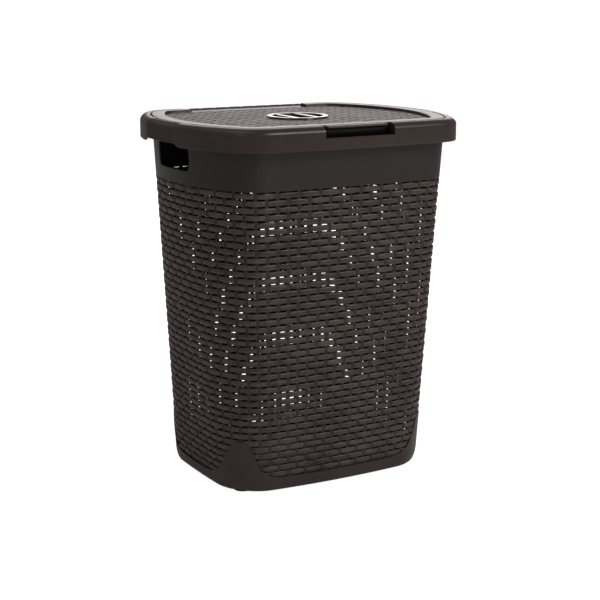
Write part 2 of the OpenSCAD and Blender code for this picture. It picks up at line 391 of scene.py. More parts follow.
looks = {
    "weave": {
        "dark": (0.0060, 0.0034, 0.0027), "light": (0.088, 0.059, 0.050), "cloudScale": 9,
        "streak": 0.7, "streakScale": (26, 26, 300), "grainScale": 1100, "roughness": 0.42, "spread": 0.25,
        "specular": 0.5, "bump": 0.4, "bumpHeight": 0.0006, "coat": 0.0, "coatRoughness": 0.3,
    },
    "stake": {
        "dark": (0.015, 0.0092, 0.0077), "light": (0.034, 0.0222, 0.0190), "cloudScale": 12,
        "streak": 0.5, "streakScale": (400, 400, 12), "grainScale": 1100, "roughness": 0.6, "spread": 0.2,
        "specular": 0.4, "bump": 0.3, "bumpHeight": 0.0005, "coat": 0.0, "coatRoughness": 0.3,
    },
    "band": {
        "dark": (0.0085, 0.0062, 0.0058), "light": (0.0150, 0.0112, 0.0106), "cloudScale": 6,
        "streak": 0.25, "streakScale": (5, 5, 30), "grainScale": 1500, "roughness": 0.40, "spread": 0.15,
        "specular": 0.5, "bump": 0.12, "bumpHeight": 0.0003, "coat": 0.0, "coatRoughness": 0.3,
    },
    "rim": {
        "dark": (0.026, 0.0170, 0.0145), "light": (0.043, 0.0300, 0.0262), "cloudScale": 7,
        "streak": 0.25, "streakScale": (5, 5, 24), "grainScale": 1500, "roughness": 0.36, "spread": 0.12,
        "specular": 0.4, "bump": 0.10, "bumpHeight": 0.0003, "coat": 0.0, "coatRoughness": 0.2,
    },
    "lid": {
        "dark": (0.018, 0.0122, 0.0105), "light": (0.046, 0.034, 0.030), "cloudScale": 12,
        "streak": 0.55, "streakScale": (20, 420, 20), "grainScale": 1200, "roughness": 0.40, "spread": 0.2,
        "specular": 0.5, "bump": 0.25, "bumpHeight": 0.0005, "coat": 0.0, "coatRoughness": 0.25,
    },
    "grille": {
        "dark": (0.024, 0.0175, 0.0155), "light": (0.036, 0.028, 0.025), "cloudScale": 20,
        "streak": 0.2, "streakScale": (30, 30, 30), "grainScale": 1600, "roughness": 0.2, "spread": 0.1,
        "specular": 0.5, "bump": 0.06, "bumpHeight": 0.0003, "coat": 0.7, "coatRoughness": 0.12,
    },
    "pin": {
        "dark": (0.012, 0.009, 0.008), "light": (0.022, 0.017, 0.015), "cloudScale": 60,
        "streak": 0.5, "streakScale": (40, 400, 400), "grainScale": 1800, "roughness": 0.4, "spread": 0.2,
        "specular": 0.5, "bump": 0.15, "bumpHeight": 0.0002, "coat": 0.0, "coatRoughness": 0.3,
    },
}
mouldedPlastic = plasticGroup()
finish = {key: plastic(key + "Plastic", mouldedPlastic, look) for key, look in looks.items()}
print("materials made")


# The tub: woven wall between two smooth bands

weave = {
    "stakes": 76,  # upright stakes all the way round, an even number
    "rows": 42,
    "lowEdge": 0.0205,  # top of the base band
    "highEdge": 0.445,  # lower edge of the upper band
    "gap": 0.00168,  # height of the slots between rows
    "sunk": 0.0008,  # how far the weave lies behind the smooth bands
    "strandDepth": 0.0022,
    "stakeWidth": 0.0058,
    "stakeFace": -0.0010,  # face of the stakes, measured from the wall
    "stakeBack": -0.0038,
    "dive": 0.0019,  # how far a strand dips behind a stake
    "diveWidth": 0.24,  # half length of the dip, in stake pitches
    "crown": 0.0004,  # swell of a strand where it passes over a stake
    "swell": 0.05,  # share by which a strand is taller there
    "climb": 0.0016,  # how much higher the rows lie at the back
    "samples": 8,  # sections of a strand for each stake
    "rowsInPiece": 14,
    # painted shade: the back and the edges of each strand's section are painted near black, as the shade in
    # the slots between rows
    "paintedSlotShade": [1, 1, 0.35, 0, 0, 0, 0, 0, 0.35, 1, 1, 1],  # how dark each point of a strand's section is
}
rowPitch = (weave["highEdge"] - weave["lowEdge"] - weave["gap"]) / weave["rows"]
strandHalf = (rowPitch - weave["gap"]) / 2


def strandRing(row):
    # A flat section with rounded edges carried round the wall at one height. Its distance from the
    # wall dips by a soft bump each time it passes behind a stake, which is every second stake.
    count = weave["stakes"] * weave["samples"]
    section = np.array([[-1, -0.5], [-0.97, -0.3], [-0.9, 0.15], [-0.76, 0.42], [-0.4, 0.52], [0, 0.56],
                        [0.4, 0.52], [0.76, 0.42], [0.9, 0.15], [0.97, -0.3], [1, -0.5], [0, -0.55]])
    share = (np.arange(count) + 0.5) / count
    middle = weave["lowEdge"] + weave["gap"] + strandHalf + row * rowPitch
    phase = (share * weave["stakes"] + row) % 2
    behind = dip(phase, weave["diveWidth"])
    over = np.cos(math.pi * phase)
    out = weave["crown"] * over - weave["dive"] * behind - weave["sunk"]
    half = strandHalf * (1 + weave["swell"] * over)
    turn = turnAt(share, middle / skirtLow)[:, None]
    z = middle + weave["climb"] * (1 + np.sin(turn)) / 2 + half[:, None] * section[None, :, 0]
    depth = out[:, None] + weave["strandDepth"] * section[None, :, 1]
    return sheet(wallAt(turn, z, depth), True, True)


def stakeBars():
    # Upright bars at even shares of the way round at every height, with a slightly rounded face
    half = weave["stakeWidth"] / 2
    face, back = weave["stakeFace"], weave["stakeBack"]
    shoulder = face - 0.3 * mm
    section = np.array([[-1, back], [-1, shoulder], [-0.75, face], [0.75, face], [1, shoulder], [1, back]])
    z = np.linspace(weave["lowEdge"] - 3 * mm, weave["highEdge"] + 1 * mm, weave["rows"] + 1)
    shells = []
    for stake in range(weave["stakes"]):
        share = np.array(stake / weave["stakes"])
        turn = np.array([turnAt(share, height / skirtLow) for height in z])[:, None]
        points = wallAt(turn, z[:, None], section[None, :, 1])
        along = np.stack([-np.sin(turn), np.cos(turn), np.zeros_like(turn)], -1)
        shells.append(bar(points + along * half * section[None, :, 0, None]))
    return shells


for start in range(0, weave["rows"], weave["rowsInPiece"]):
    rings = [strandRing(row) for row in range(start, min(start + weave["rowsInPiece"], weave["rows"]))]
    piece(f"woven_strands_{start // weave['rowsInPiece'] + 1}", rings, finish["weave"], basketBody,
          60, paintedShade=weave["paintedSlotShade"])
piece("woven_stakes", stakeBars(), finish["stake"], basketBody, 60)
print("weave made")

upperBand = {
    "wall": 0.0027,
    "proud": 0.0005,  # how far it stands out from the weave
    "holeWidth": 0.100,
    "holeHeight": 0.037,
    "holeCorner": 0.010,
    "holeMiddle": 0.484,
    "patch": 0.064,  # half width of the stretch of wall that is laid out around a hole
    "columns": 120,
    "edge": 0.0007,
}


def holeSide(cornerSteps, longSteps, highSteps):
    # Half of a rounded window's edge as (across, up): its right side, then its top, each from the
    # middle of one corner to the middle of the next
    corner = upperBand["holeCorner"]
    halfWide = upperBand["holeWidth"] / 2 - corner
    halfHigh = upperBand["holeHeight"] / 2 - corner
    lowRight = arc(halfWide, -halfHigh, corner, corner, -45, 0, cornerSteps)
    highRight = arc(halfWide, halfHigh, corner, corner, 0, 45, cornerSteps)
    topRight = arc(halfWide, halfHigh, corner, corner, 45, 90, cornerSteps)
    topLeft = arc(-halfWide, halfHigh, corner, corner, 90, 135, cornerSteps)
    upright = np.linspace(lowRight[-1], highRight[0], highSteps + 1)
    level = np.linspace(topRight[-1], topLeft[0], longSteps + 1)
    right = np.concatenate([lowRight[:-1], upright, highRight[1:]])
    top = np.concatenate([topRight[:-1], level, topLeft[1:]])
    return right, top


def bandShells():
    # Around each hand hole the wall is a grid between the hole's edge and a rectangle. The front and
    # the back are a grid of even steps along the wall between the two rectangles.
    right, top = holeSide(4, 16, 4)
    high = len(right)
    bottomZ, topZ = weave["highEdge"], tubTop - 0.0005
    middle = upperBand["holeMiddle"]
    z = np.linspace(bottomZ, topZ, high)
    y = np.linspace(upperBand["patch"], -upperBand["patch"], len(top))
    inner = np.concatenate([right[:-1], top[:-1], -right[:-1], -top[:-1]])
    outer = np.concatenate([
        np.stack([np.full(high, upperBand["patch"]), z - middle], -1)[:-1],
        np.stack([y, np.full(len(y), topZ - middle)], -1)[:-1],
        np.stack([np.full(high, -upperBand["patch"]), z[::-1] - middle], -1)[:-1],
        np.stack([-y, np.full(len(y), bottomZ - middle)], -1)[:-1]])
    spread = np.array([0, 0.1, 0.3, 0.6, 1])[:, None, None]
    flat = inner[None] * (1 - spread) + outer[None] * spread
    turn = turnAtDepth(flat[..., 0], flat[..., 1] + middle)
    patch = wallAt(turn, flat[..., 1] + middle, upperBand["proud"])
    faces = gridFaces(*patch.shape[:2], False, True)
    shells = []
    for side in (1, -1):
        shells.append(faceAway(patch.reshape(-1, 3) * [side, 1, 1], faces, 0, side))
    rows = []
    for height in z:
        joins, length = quarterArcs(min(height / skirtLow, 1))
        start = np.interp(turnAtDepth(np.array(upperBand["patch"]), height), joins, length) / length[-1] / 4
        share = start + (0.5 - 2 * start) * np.linspace(0, 1, upperBand["columns"] + 1)
        rows.append(wallAt(turnAt(share, min(height / skirtLow, 1)), height, upperBand["proud"]))
    wall = np.stack(rows)
    faces = gridFaces(*wall.shape[:2])
    for side in (1, -1):
        shells.append(faceAway(wall.reshape(-1, 3) * [1, side, 1], faces, 1, side))
    return shells


band = piece("upper_band", bandShells(), finish["band"], basketBody, 30, 0.05 * mm)
thicken(band, upperBand["wall"], upperBand["edge"])

baseBand = {
    "proud": 0.0012,
    "wall": 0.0064,
    "cornerRise": 0.058,  # how much higher the band reaches at the corners
    "cornerWidth": 0.0245,  # distance from a corner's middle where half of that rise is left
    "cornerPower": 4,
    "roundHeight": 0.008,  # height of the rounding at the foot
    "roundIn": 0.0025,
    "endRoundHeight": 0.020,  # the same round the corners and the short ends
    "endRoundIn": 0.006,
    "lip": 0.0005,  # raised line along the upper edge
    "steps": [0, 0.03, 0.07, 0.12, 0.18, 0.26, 0.36, 0.48, 0.62, 0.78, 0.9, 0.955, 0.975, 1],
    "columns": 320,
    "underside": 0.002,
    "edge": 0.0006,
}


def footPlaces(share):
    # Distance along the foot from the nearest corner's middle, positive towards the long side, and
    # a mask that is 1 round the short ends and the corners
    joins, length = quarterArcs(0)
    cornerPlace = np.interp(sum(arcJoins(baseLine)[3:]) / 2, joins, length)
    away = np.abs((share * 4 + 1) % 2 - 1) * length[-1] - cornerPlace
    return away, 1 - smooth(away, -0.01, 0.05)


def baseShell():
    # A band round the foot of the wall. Its upper edge rises at each corner by
    # 1 / (1 + (distance / width) to a power), and its lower edge is rounded inwards.
    share = np.arange(baseBand["columns"]) / baseBand["columns"]
    away, end = footPlaces(share)
    rise = baseBand["cornerRise"] / (1 + np.abs(away / baseBand["cornerWidth"]) ** baseBand["cornerPower"])
    step = np.array(baseBand["steps"])[:, None]
    low = baseBand["underside"]
    z = low + (weave["lowEdge"] + rise - low) * step
    high = baseBand["roundHeight"] + (baseBand["endRoundHeight"] - baseBand["roundHeight"]) * end
    deep = baseBand["roundIn"] + (baseBand["endRoundIn"] - baseBand["roundIn"]) * end
    foot = np.clip((z - low) / high, 0, 1)
    upperEdge = weave["lowEdge"] + rise
    edgeLine = baseBand["lip"] * smooth(z, upperEdge - 2.2 * mm, upperEdge - 1.2 * mm)
    out = baseBand["proud"] + edgeLine - deep * (1 - np.sqrt(1 - (1 - foot) ** 2))
    turn = np.broadcast_to(turnAt(share, 0.03), z.shape)
    return sheet(wallAt(turn, z, out), False, True)


foot = piece("base_band", [baseShell()], finish["rim"], basketBody, 40)
thicken(foot, baseBand["wall"], baseBand["edge"])

floorPan = {"in": 0.0045, "endIn": 0.003, "top": 0.005, "underside": 0.002, "rings": 26,
            "columns": 160, "ripple": 0.0004, "ripples": 5}


def floorShell():
    # A plate that fills the base outline: shares of the outline from the middle outwards, over the
    # top and back along the underside, with shallow ripples
    share = np.linspace(0.002, 1, floorPan["rings"])
    around = np.arange(floorPan["columns"]) / floorPan["columns"]
    edge = wallAt(turnAt(around, 0), 0.0, -(floorPan["in"] + floorPan["endIn"] * footPlaces(around)[1]))
    ripple = floorPan["ripple"] * np.cos(share * floorPan["ripples"] * 2 * math.pi)
    sides = []
    for height, way in ((floorPan["top"], 1), (floorPan["underside"], -1)):
        layer = edge[None] * share[:, None, None]
        layer[..., 2] = (height - floorPan["ripple"] * way + ripple * way * (share < 0.97))[:, None]
        sides.append(layer[::way])
    return bar(np.concatenate(sides))


footPad = {
    "radius": 13 * mm, "height": 2.4 * mm, "round": 0.8 * mm, "hub": 0.3 * mm, "steps": 32,
    "inset": 17 * mm, "direction": (0.75, 0.66),  # from the corner arc's own middle
}


def feetShells():
    # Low round pads under the corners: a rounded edge turned about an upright axis
    wide, high, edge, hub = (footPad[key] for key in ("radius", "height", "round", "hub"))
    profile = np.concatenate([[[hub, high], [wide, high]],
                              arc(wide - edge, edge, edge, edge, 0, -90, 4), [[hub, 0]]])
    corner = arcJoins(baseLine)[2] + (baseLine[4] - footPad["inset"]) * np.array(footPad["direction"])
    angle = np.arange(footPad["steps"]) / footPad["steps"] * 2 * math.pi
    shells = []
    for sideX in (-1, 1):
        for sideY in (-1, 1):
            x = sideX * corner[0] + profile[:, :1] * np.cos(angle)
            y = sideY * corner[1] + profile[:, :1] * np.sin(angle)
            z = np.broadcast_to(profile[:, 1:], x.shape)
            shells.append(bar(np.stack([x, y, z], -1)))
    return shells


pan = piece("floor_pan", [floorShell()], finish["band"], basketBody)
feet = piece("corner_feet", feetShells(), finish["band"], basketBody)
for made in [o for o in bpy.data.objects if o.name.startswith("woven_")] + [band, foot, pan, feet]:
    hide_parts("tub")
print("tub made")


# The rim frame

rim = {
    "skirt": 32.5 * mm, "shell": 2.5 * mm, "shoulderWidth": 13 * mm, "shoulderHeight": 9 * mm,
    "riser": 15.2 * mm, "ledgeInner": 25 * mm, "ledgeDrop": 7 * mm, "lipDrop": 20 * mm,
    "notchHalf": 56 * mm, "notchDrop": 16 * mm, "pocket": 30 * mm,  # finger notch at the front
    "pocketIn": 19 * mm, "notchChamfer": 1.8 * mm,
    "hingeHalf": 108.5 * mm, "hingeDrop": 10.5 * mm,  # cut-out for the hinge at the back
    "gripHalf": 45 * mm, "gripRise": 5 * mm,  # raised lower edge over the hand holes
    "endHalf": 69 * mm, "endReach": 1.3 * mm,  # the shoulder reaches closer to the lid at both ends
    "flutePitch": 5.4 * mm, "fluteDepth": 1.1 * mm,
}


def rimSection():
    # Closed section as (inset, height from the top, kind): kind 0 is the outer face, 1 the ledge and
    # lip, 2 the inner face of the skirt and shoulder, 3 and 4 the two inner corners of the riser
    shell, wide, high = rim["shell"], rim["shoulderWidth"], rim["shoulderHeight"]
    outer = np.concatenate([
        arc(0.6 * mm, -rim["skirt"] + 0.6 * mm, 0.6 * mm, 0.6 * mm, 270, 180, 3),
        [[0, h * mm] for h in (-29, -24, -20, -16, -13)],
        arc(wide, -high, wide, high, 180, 90, 12),
        arc(rim["riser"] - 1.2 * mm, -1.3 * mm, 1.2 * mm, 1.2 * mm, 90, 0, 4)])
    ledge = np.array([[rim["riser"], -rim["ledgeDrop"]], [rim["ledgeInner"] - 0.5 * mm, -rim["ledgeDrop"]],
                      [rim["ledgeInner"], -rim["ledgeDrop"] - 0.5 * mm], [rim["ledgeInner"], -rim["lipDrop"]],
                      [rim["ledgeInner"] - shell, -rim["lipDrop"]],
                      [rim["ledgeInner"] - shell, -rim["ledgeDrop"] - shell]])
    riser = np.array([[rim["riser"] - shell, -rim["ledgeDrop"] - shell], [rim["riser"] - shell, -shell]])
    inner = np.concatenate([
        arc(wide, -high, wide - shell, high - shell, 90, 180, 6),
        [[shell, h * mm] for h in (-13, -16, -20, -24, -29)], [[shell, -rim["skirt"] + 0.3 * mm]],
        [[shell - 0.4 * mm, -rim["skirt"]]]])
    path = np.concatenate([outer, ledge, riser, inner])
    kind = np.concatenate([np.zeros(len(outer)), np.ones(len(ledge)), [3, 4], np.full(len(inner), 2)])
    return path, kind


def rimColumns():
    # Outward directions of the columns: even steps, finer at the fluted ends, and pairs a hair apart
    # where a cut-out begins
    even = turnAt(np.arange(420) / 420, 1)
    fine = np.arcsin(np.linspace(-75, 75, 301) * mm / rimLine[3])
    edges = []
    for place, side in ((rim["notchHalf"], -1), (rim["hingeHalf"], 1)):
        for extra in (0, rim["shell"]):
            for shift in (-hair, hair):
                x = place + extra + shift
                edges += [side * np.arccos(x / rimLine[2]), side * np.arccos(-x / rimLine[2])]
    every = np.concatenate([even, fine, math.pi + fine, edges]) % (2 * math.pi)
    every = np.sort(every)
    keep = np.concatenate([[True], np.diff(every) > 1e-6])
    return every[keep]


def rimShell():
    # The section carried round the rim outline. Flutes push the outer face in by
    # depth times (1 - |cos|), the cut-outs lower the points of the outer face, and the inner face
    # follows one wall thickness behind.
    path, kind = rimSection()
    turn = rimColumns()[:, None]
    edgeX, edgeY = edgeAt(rimLine, turn)
    inset = np.broadcast_to(path[None, :, 0], (len(turn), len(path))).copy()
    drop = np.broadcast_to(path[None, :, 1], inset.shape).copy()
    kind = np.broadcast_to(kind[None], inset.shape)
    outer, inner = kind == 0, kind == 2

    atEnd = 1 - smooth(np.abs(edgeY), rim["endHalf"] - 3 * mm, rim["endHalf"] + 1 * mm)
    reach = rim["endReach"] * atEnd * smooth(inset, 8 * mm, 14 * mm)
    inset = inset + reach * outer * (drop > -rim["ledgeDrop"])

    fluted = 1 - smooth(np.abs(edgeY), rim["gripHalf"] - 6 * mm, rim["gripHalf"] + 10 * mm)
    groove = rim["fluteDepth"] * (1 - np.abs(np.cos(math.pi * edgeY / rim["flutePitch"]))) * fluted
    fade = smooth(drop, -31.5 * mm, -29 * mm) * (1 - smooth(inset, 12.5 * mm, 15.5 * mm))
    inset = np.where(outer, inset + groove * fade, inset)
    drop = np.where(outer, drop - groove * fade * smooth(drop, -9 * mm, 0), drop)

    raised = 1 - smooth(np.abs(edgeY), rim["gripHalf"] - 3 * mm, rim["gripHalf"] + 15 * mm)
    raised = rim["gripRise"] * raised
    atEdge = drop < -30 * mm
    drop = np.where((outer | inner) & atEdge, drop + raised, drop)
    drop = np.where((outer | inner) & ~atEdge, np.maximum(drop, -rim["skirt"] + raised + 0.7 * mm), drop)

    cutOuts = ((rim["notchHalf"], rim["notchDrop"], -1), (rim["hingeHalf"], rim["hingeDrop"], 1))
    for half, depth, side in cutOuts:
        there = np.sign(edgeY) == side
        cut = there & (np.abs(edgeX) < half)
        cutInner = there & (np.abs(edgeX) < half + rim["shell"])
        bottom = depth + rim["shell"] if side > 0 else rim["skirt"] - 0.2 * mm
        chamfer = np.clip(1 - inset / rim["notchChamfer"], 0, 1) * rim["notchChamfer"] * (side < 0)
        drop = np.where(cut & outer, np.minimum(drop, -depth - chamfer), drop)
        if side < 0:
            drop = np.where(cut & outer & (inset > rim["shell"]), -rim["pocket"], drop)
            inset = np.where(cut & outer & (inset > rim["shoulderWidth"]), rim["pocketIn"], inset)
        drop = np.where(cutInner & inner, np.minimum(drop, -bottom), drop)
        inset = np.where(cutInner & (kind > 2), rim["riser"] + rim["shell"], inset)
        drop = np.where(cutInner & (kind == 4), -bottom, drop)
    points = np.stack(np.broadcast_arrays(edgeX - inset * np.cos(turn), edgeY - inset * np.sin(turn),
                                          rimTop + drop), -1)
    # painted shade: the faces inside the front finger pocket are painted near black, as the shade under the
    # tab
    facing = outer & (inset > rim["shell"]) | (kind == 1) & (inset < rim["ledgeInner"] - 1 * mm)
    pocket = (edgeY < 0) & (np.abs(edgeX) < rim["notchHalf"]) & facing
    return sheet(points, True, True), np.ravel(pocket)


rimMesh, paintedPocketShade = rimShell()
rimPiece = piece("rim_frame_shell", [rimMesh], finish["rim"], basketBody, 35,
                 paintedShade=paintedPocketShade)
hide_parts("rim_frame")
print("rim frame made")


# The lid: ring, woven panel, tab and hinge

lid = {
    "edge": 16.8 * mm, "ringInner": 36.8 * mm, "panelDrop": 4 * mm, "under": 6.5 * mm, "shell": 2.5 * mm,
    "backHalf": 102.5 * mm,  # the ring stops here for the hinge flange
    "rowPitch": 10.7 * mm, "stakePitch": 19 * mm, "gap": 2.4 * mm, "stakeWidth": 5 * mm,
    "base": 5.9 * mm,  # depth of the closed sheet under the weave
    "dive": 1.6 * mm, "diveWidth": 0.2, "swell": 0.05, "samples": 8,
    "middleY": -6 * mm, "holeRadius": 43.5 * mm,
}


def lidRing():
    # A rounded section carried round the rim outline, lowered to the panel's level at the hinge
    inner, outer = lid["ringInner"], lid["edge"]
    path = np.concatenate([
        [[inner + 1.2 * mm, -lid["under"]], [inner + 0.5 * mm, -lid["panelDrop"] - 0.6 * mm]],
        arc(inner - 1.3 * mm, -1.5 * mm, 1.3 * mm, 1.5 * mm, 0, 90, 5),
        [[(inner + outer) / 2, 0.0]],
        arc(outer + 1.9 * mm, -1.9 * mm, 1.9 * mm, 1.9 * mm, 90, 180, 6),
        [[outer, -6.4 * mm], [outer + 0.3 * mm, -6.7 * mm], [outer + 2.3 * mm, -6.7 * mm],
         [outer + 2.5 * mm, -lid["shell"]], [inner - lid["shell"], -lid["shell"]],
         [inner - lid["shell"], -lid["under"]]]])
    even = turnAt(np.arange(400) / 400, 1)
    edges = [np.arccos(side * (lid["backHalf"] + shift) / rimLine[2])
             for side in (-1, 1) for shift in (-hair, hair)]
    turn = np.sort(np.concatenate([even, edges]) % (2 * math.pi))[:, None]
    edgeX, edgeY = edgeAt(rimLine, turn)
    drop = np.broadcast_to(path[None, :, 1], (len(turn), len(path)))
    back = (edgeY > 0) & (np.abs(edgeX) < lid["backHalf"])
    drop = np.where(back, np.clip(drop, -lid["under"] + 0.3 * mm, -lid["panelDrop"] - 0.4 * mm), drop)
    x, y = edgeX - path[None, :, 0] * np.cos(turn), edgeY - path[None, :, 0] * np.sin(turn)
    return sheet(np.stack([x, y, rimTop + drop], -1), True, True)


def panelPlate():
    # A closed plate between the round hole and the ring: each column blends from the circle to the
    # outline, over the top and back along the underside
    turn = turnAt(np.arange(200) / 200, 1)
    edgeX, edgeY = edgeAt(rimLine - lid["ringInner"] + 1.5 * mm, turn)
    angle = np.arctan2(edgeY - lid["middleY"], edgeX)
    holeX = lid["holeRadius"] * np.cos(angle)
    holeY = lid["middleY"] + lid["holeRadius"] * np.sin(angle)
    layers = []
    for share, depth in ((0, lid["base"]), (0.25, lid["base"]), (0.5, lid["base"]), (0.75, lid["base"]),
                         (1, lid["base"]), (1, lid["under"]), (0.66, lid["under"]), (0.33, lid["under"]),
                         (0, lid["under"])):
        x = holeX * (1 - share) + edgeX * share
        y = holeY * (1 - share) + edgeY * share
        layers.append(np.stack([x, y, np.full_like(x, rimTop - depth)], -1))
    return sheet(np.stack(layers), True, True)


def chords(levels, alongX):
    # Where straight lines at the given levels cross the panel's outline and its round hole
    turn = turnAt(np.arange(2000) / 2000, 1)
    edgeX, edgeY = edgeAt(rimLine - lid["ringInner"] + 1.2 * mm, turn)
    across, reach = (edgeY, edgeX) if alongX else (edgeX, edgeY)
    spans = []
    for level in levels:
        near = np.abs(across - level) < 1.2 * mm
        if not near.any():
            continue
        start, end = reach[near].min(), reach[near].max()
        centre = 0.0 if alongX else lid["middleY"]
        offset = level - lid["middleY"] if alongX else level
        if abs(offset) < lid["holeRadius"]:
            half = math.sqrt(lid["holeRadius"] ** 2 - offset ** 2)
            spans += [(level, start, centre - half), (level, centre + half, end)]
        else:
            spans.append((level, start, end))
    return spans


def panelStrands():
    # Flat strips along X on even rows. Each dips by a soft bump where it passes behind a stake.
    section = np.array([[-1, -1.6], [-0.95, -0.5], [-0.7, -0.08], [0, 0.06], [0.7, -0.08],
                        [0.95, -0.5], [1, -1.6]])
    half = (lid["rowPitch"] - lid["gap"]) / 2
    count = int(0.16 / lid["rowPitch"]) + 1
    shells = []
    for row in range(-count, count + 1):
        for level, start, end in chords([row * lid["rowPitch"]], True):
            steps = max(int((end - start) / lid["stakePitch"] * lid["samples"]), 3)
            x = np.linspace(start, end, steps)
            phase = (x / lid["stakePitch"] + row) % 2
            behind = dip(phase, lid["diveWidth"])
            swell = 1 + lid["swell"] * np.cos(math.pi * phase)
            y = level + half * swell[:, None] * section[None, :, 0]
            z = rimTop - lid["panelDrop"] + section[None, :, 1] * mm - lid["dive"] * behind[:, None]
            z = np.maximum(z, rimTop - lid["under"] + 0.3 * mm)
            shells.append(bar(np.stack(np.broadcast_arrays(x[:, None], y, z), -1)))
    return shells


def panelStakes():
    # Flat bars along Y, a little below the strands that cross over them
    half = lid["stakeWidth"] / 2
    section = np.array([[-1, -1.6], [-0.95, -1.1], [-0.7, -0.9], [0.7, -0.9], [0.95, -1.1], [1, -1.6]])
    count = int(0.19 / lid["stakePitch"]) + 1
    shells = []
    for level, start, end in chords([stake * lid["stakePitch"] for stake in range(-count, count + 1)], False):
        y = np.linspace(start, end, 12)[:, None]
        x = level + half * section[None, :, 0]
        z = rimTop - lid["panelDrop"] + section[None, :, 1] * mm
        shells.append(bar(np.stack(np.broadcast_arrays(x, y, z), -1)))
    return shells


tab = {"half": 48.5 * mm, "radius": 2.1 * mm, "y": 9.6 * mm, "z": 2.7 * mm, "under": 3 * mm,
       "round": 1.2 * mm}


def tabShell():
    # A section with a half round nose carried along X, drawn in towards its middle at both ends
    r = tab["radius"]
    nose = arc(0, 0, r, r, 270, 90, 14)
    back = lid["edge"] - tab["y"] + 3 * mm
    section = np.concatenate([nose, [[back, r], [back, -r - tab["under"]], [back - 3 * mm, -r - tab["under"]],
                                     [back - 4 * mm, -r]]])
    ease = np.array([1, 0.62, 0.3, 0.08, 0]) * tab["round"]
    x = np.concatenate([-tab["half"] + np.linspace(0, tab["round"], 5), np.linspace(-40, 40, 9) * mm,
                        tab["half"] - np.linspace(tab["round"], 0, 5)])
    shrink = np.concatenate([ease, np.zeros(9), ease[::-1]])[:, None]
    middle = section.mean(0)
    reach = np.maximum(np.hypot(*(section - middle).T), 1e-6)
    scale = 1 - shrink / reach[None]
    y = -rimHigh.y + tab["y"] + middle[0] + (section[None, :, 0] - middle[0]) * scale
    z = rimTop - tab["z"] + middle[1] + (section[None, :, 1] - middle[1]) * scale
    # painted shade: the lower part of the section is painted near black, as the shade under the tab
    return bar(np.stack(np.broadcast_arrays(x[:, None], y, z), -1)), section[:, 1] < -0.4 * r


hinge = {"axisY": 178 * mm, "axisZ": 528.5 * mm, "barrel": 3.7 * mm, "barrelHalf": 106.5 * mm, "ribs": 9}


def hingeShells():
    # A flat flange from the panel's back edge to the barrel, and a barrel with shallow rings turned
    # about the hinge axis
    frontY = rimHigh.y - lid["ringInner"] - 1 * mm
    top, low = rimTop - lid["panelDrop"], rimTop - lid["under"]
    edge = 0.6 * mm
    section = np.array([[frontY, low], [frontY, top - edge], [frontY + edge, top], [hinge["axisY"], top],
                        [hinge["axisY"], low]])
    x = np.linspace(-lid["backHalf"], lid["backHalf"], 25)
    flange = bar(np.stack(np.broadcast_arrays(x[:, None], section[None, :, 0], section[None, :, 1]), -1))
    angle = np.arange(24) / 24 * 2 * math.pi
    steps = np.linspace(-1, 1, 241)
    rings = 0.35 * mm * smooth(np.cos(math.pi * steps * hinge["ribs"]), 0.55, 0.9)
    ends = np.clip((1 - np.abs(steps)) * hinge["barrelHalf"] / (0.8 * mm), 0, 1)
    radius = (hinge["barrel"] - rings) * (0.8 + 0.2 * np.sqrt(ends))
    y = hinge["axisY"] + radius[:, None] * np.cos(angle)
    z = hinge["axisZ"] + radius[:, None] * np.sin(angle)
    barrel = bar(np.stack(np.broadcast_arrays((steps * hinge["barrelHalf"])[:, None], y, z), -1))
    return [flange, barrel]


tabMesh, paintedTabShade = tabShell()
lidPieces = [
    piece("lid_ring", [lidRing()], finish["rim"], lidBody, 35),
    piece("lid_panel", [panelPlate()] + panelStakes(), finish["stake"], lidBody, 35),
    piece("lid_weave", panelStrands(), finish["lid"], lidBody, 60),
    piece("lid_tab", [tabMesh], finish["rim"], lidBody, 35, paintedShade=paintedTabShade),
    piece("lid_hinge_flange", hingeShells(), finish["rim"], lidBody, 35),
]
for made in lidPieces:
    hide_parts("lid")
print("lid made")

grille = {"radius": 46 * mm, "opening": 38 * mm, "plug": 42 * mm, "barWidth": 9 * mm, "barPlace": 16 * mm,
          "depth": 11 * mm}


def grilleShells():
    # A dish turned about an upright axis with a rounded raised ring, and two rounded bars across it
    top, low = rimTop - 1 * mm, rimTop - grille["depth"]
    outer, inner = grille["radius"], grille["opening"]
    profile = np.concatenate([
        [[0.2 * mm, low + 0.8 * mm], [inner - 1 * mm, low + 0.8 * mm], [inner, low + 1.8 * mm]],
        arc(inner + 1.5 * mm, top - 1.5 * mm, 1.5 * mm, 1.5 * mm, 180, 90, 5),
        arc(outer - 2.4 * mm, top - 2.4 * mm, 2.4 * mm, 2.4 * mm, 90, 0, 6),
        [[outer, top - 3.4 * mm], [grille["plug"], top - 3.6 * mm], [grille["plug"], low + 0.5 * mm],
         [grille["plug"] - 0.5 * mm, low], [0.2 * mm, low]]])
    angle = np.arange(120) / 120 * 2 * math.pi
    x = profile[:, :1] * np.cos(angle)
    y = lid["middleY"] + profile[:, :1] * np.sin(angle)
    shells = [bar(np.stack([x, y, np.broadcast_to(profile[:, 1:], x.shape)], -1))]
    half = grille["barWidth"] / 2
    rounding = 2 * mm
    middleZ = top - 0.6 * mm - rounding
    section = np.concatenate([[[-half, low + 0.6 * mm]],
                              arc(-half + rounding, middleZ, rounding, rounding, 180, 90, 4),
                              arc(half - rounding, middleZ, rounding, rounding, 90, 0, 4),
                              [[half, low + 0.6 * mm]]])
    for side in (-1, 1):
        reach = math.sqrt((inner + 1 * mm) ** 2 - grille["barPlace"] ** 2)
        along = lid["middleY"] + np.linspace(-reach, reach, 15)
        barX = side * grille["barPlace"] + section[None, :, 0]
        shells.append(bar(np.stack(np.broadcast_arrays(barX, along[:, None], section[None, :, 1]), -1)))
    return shells


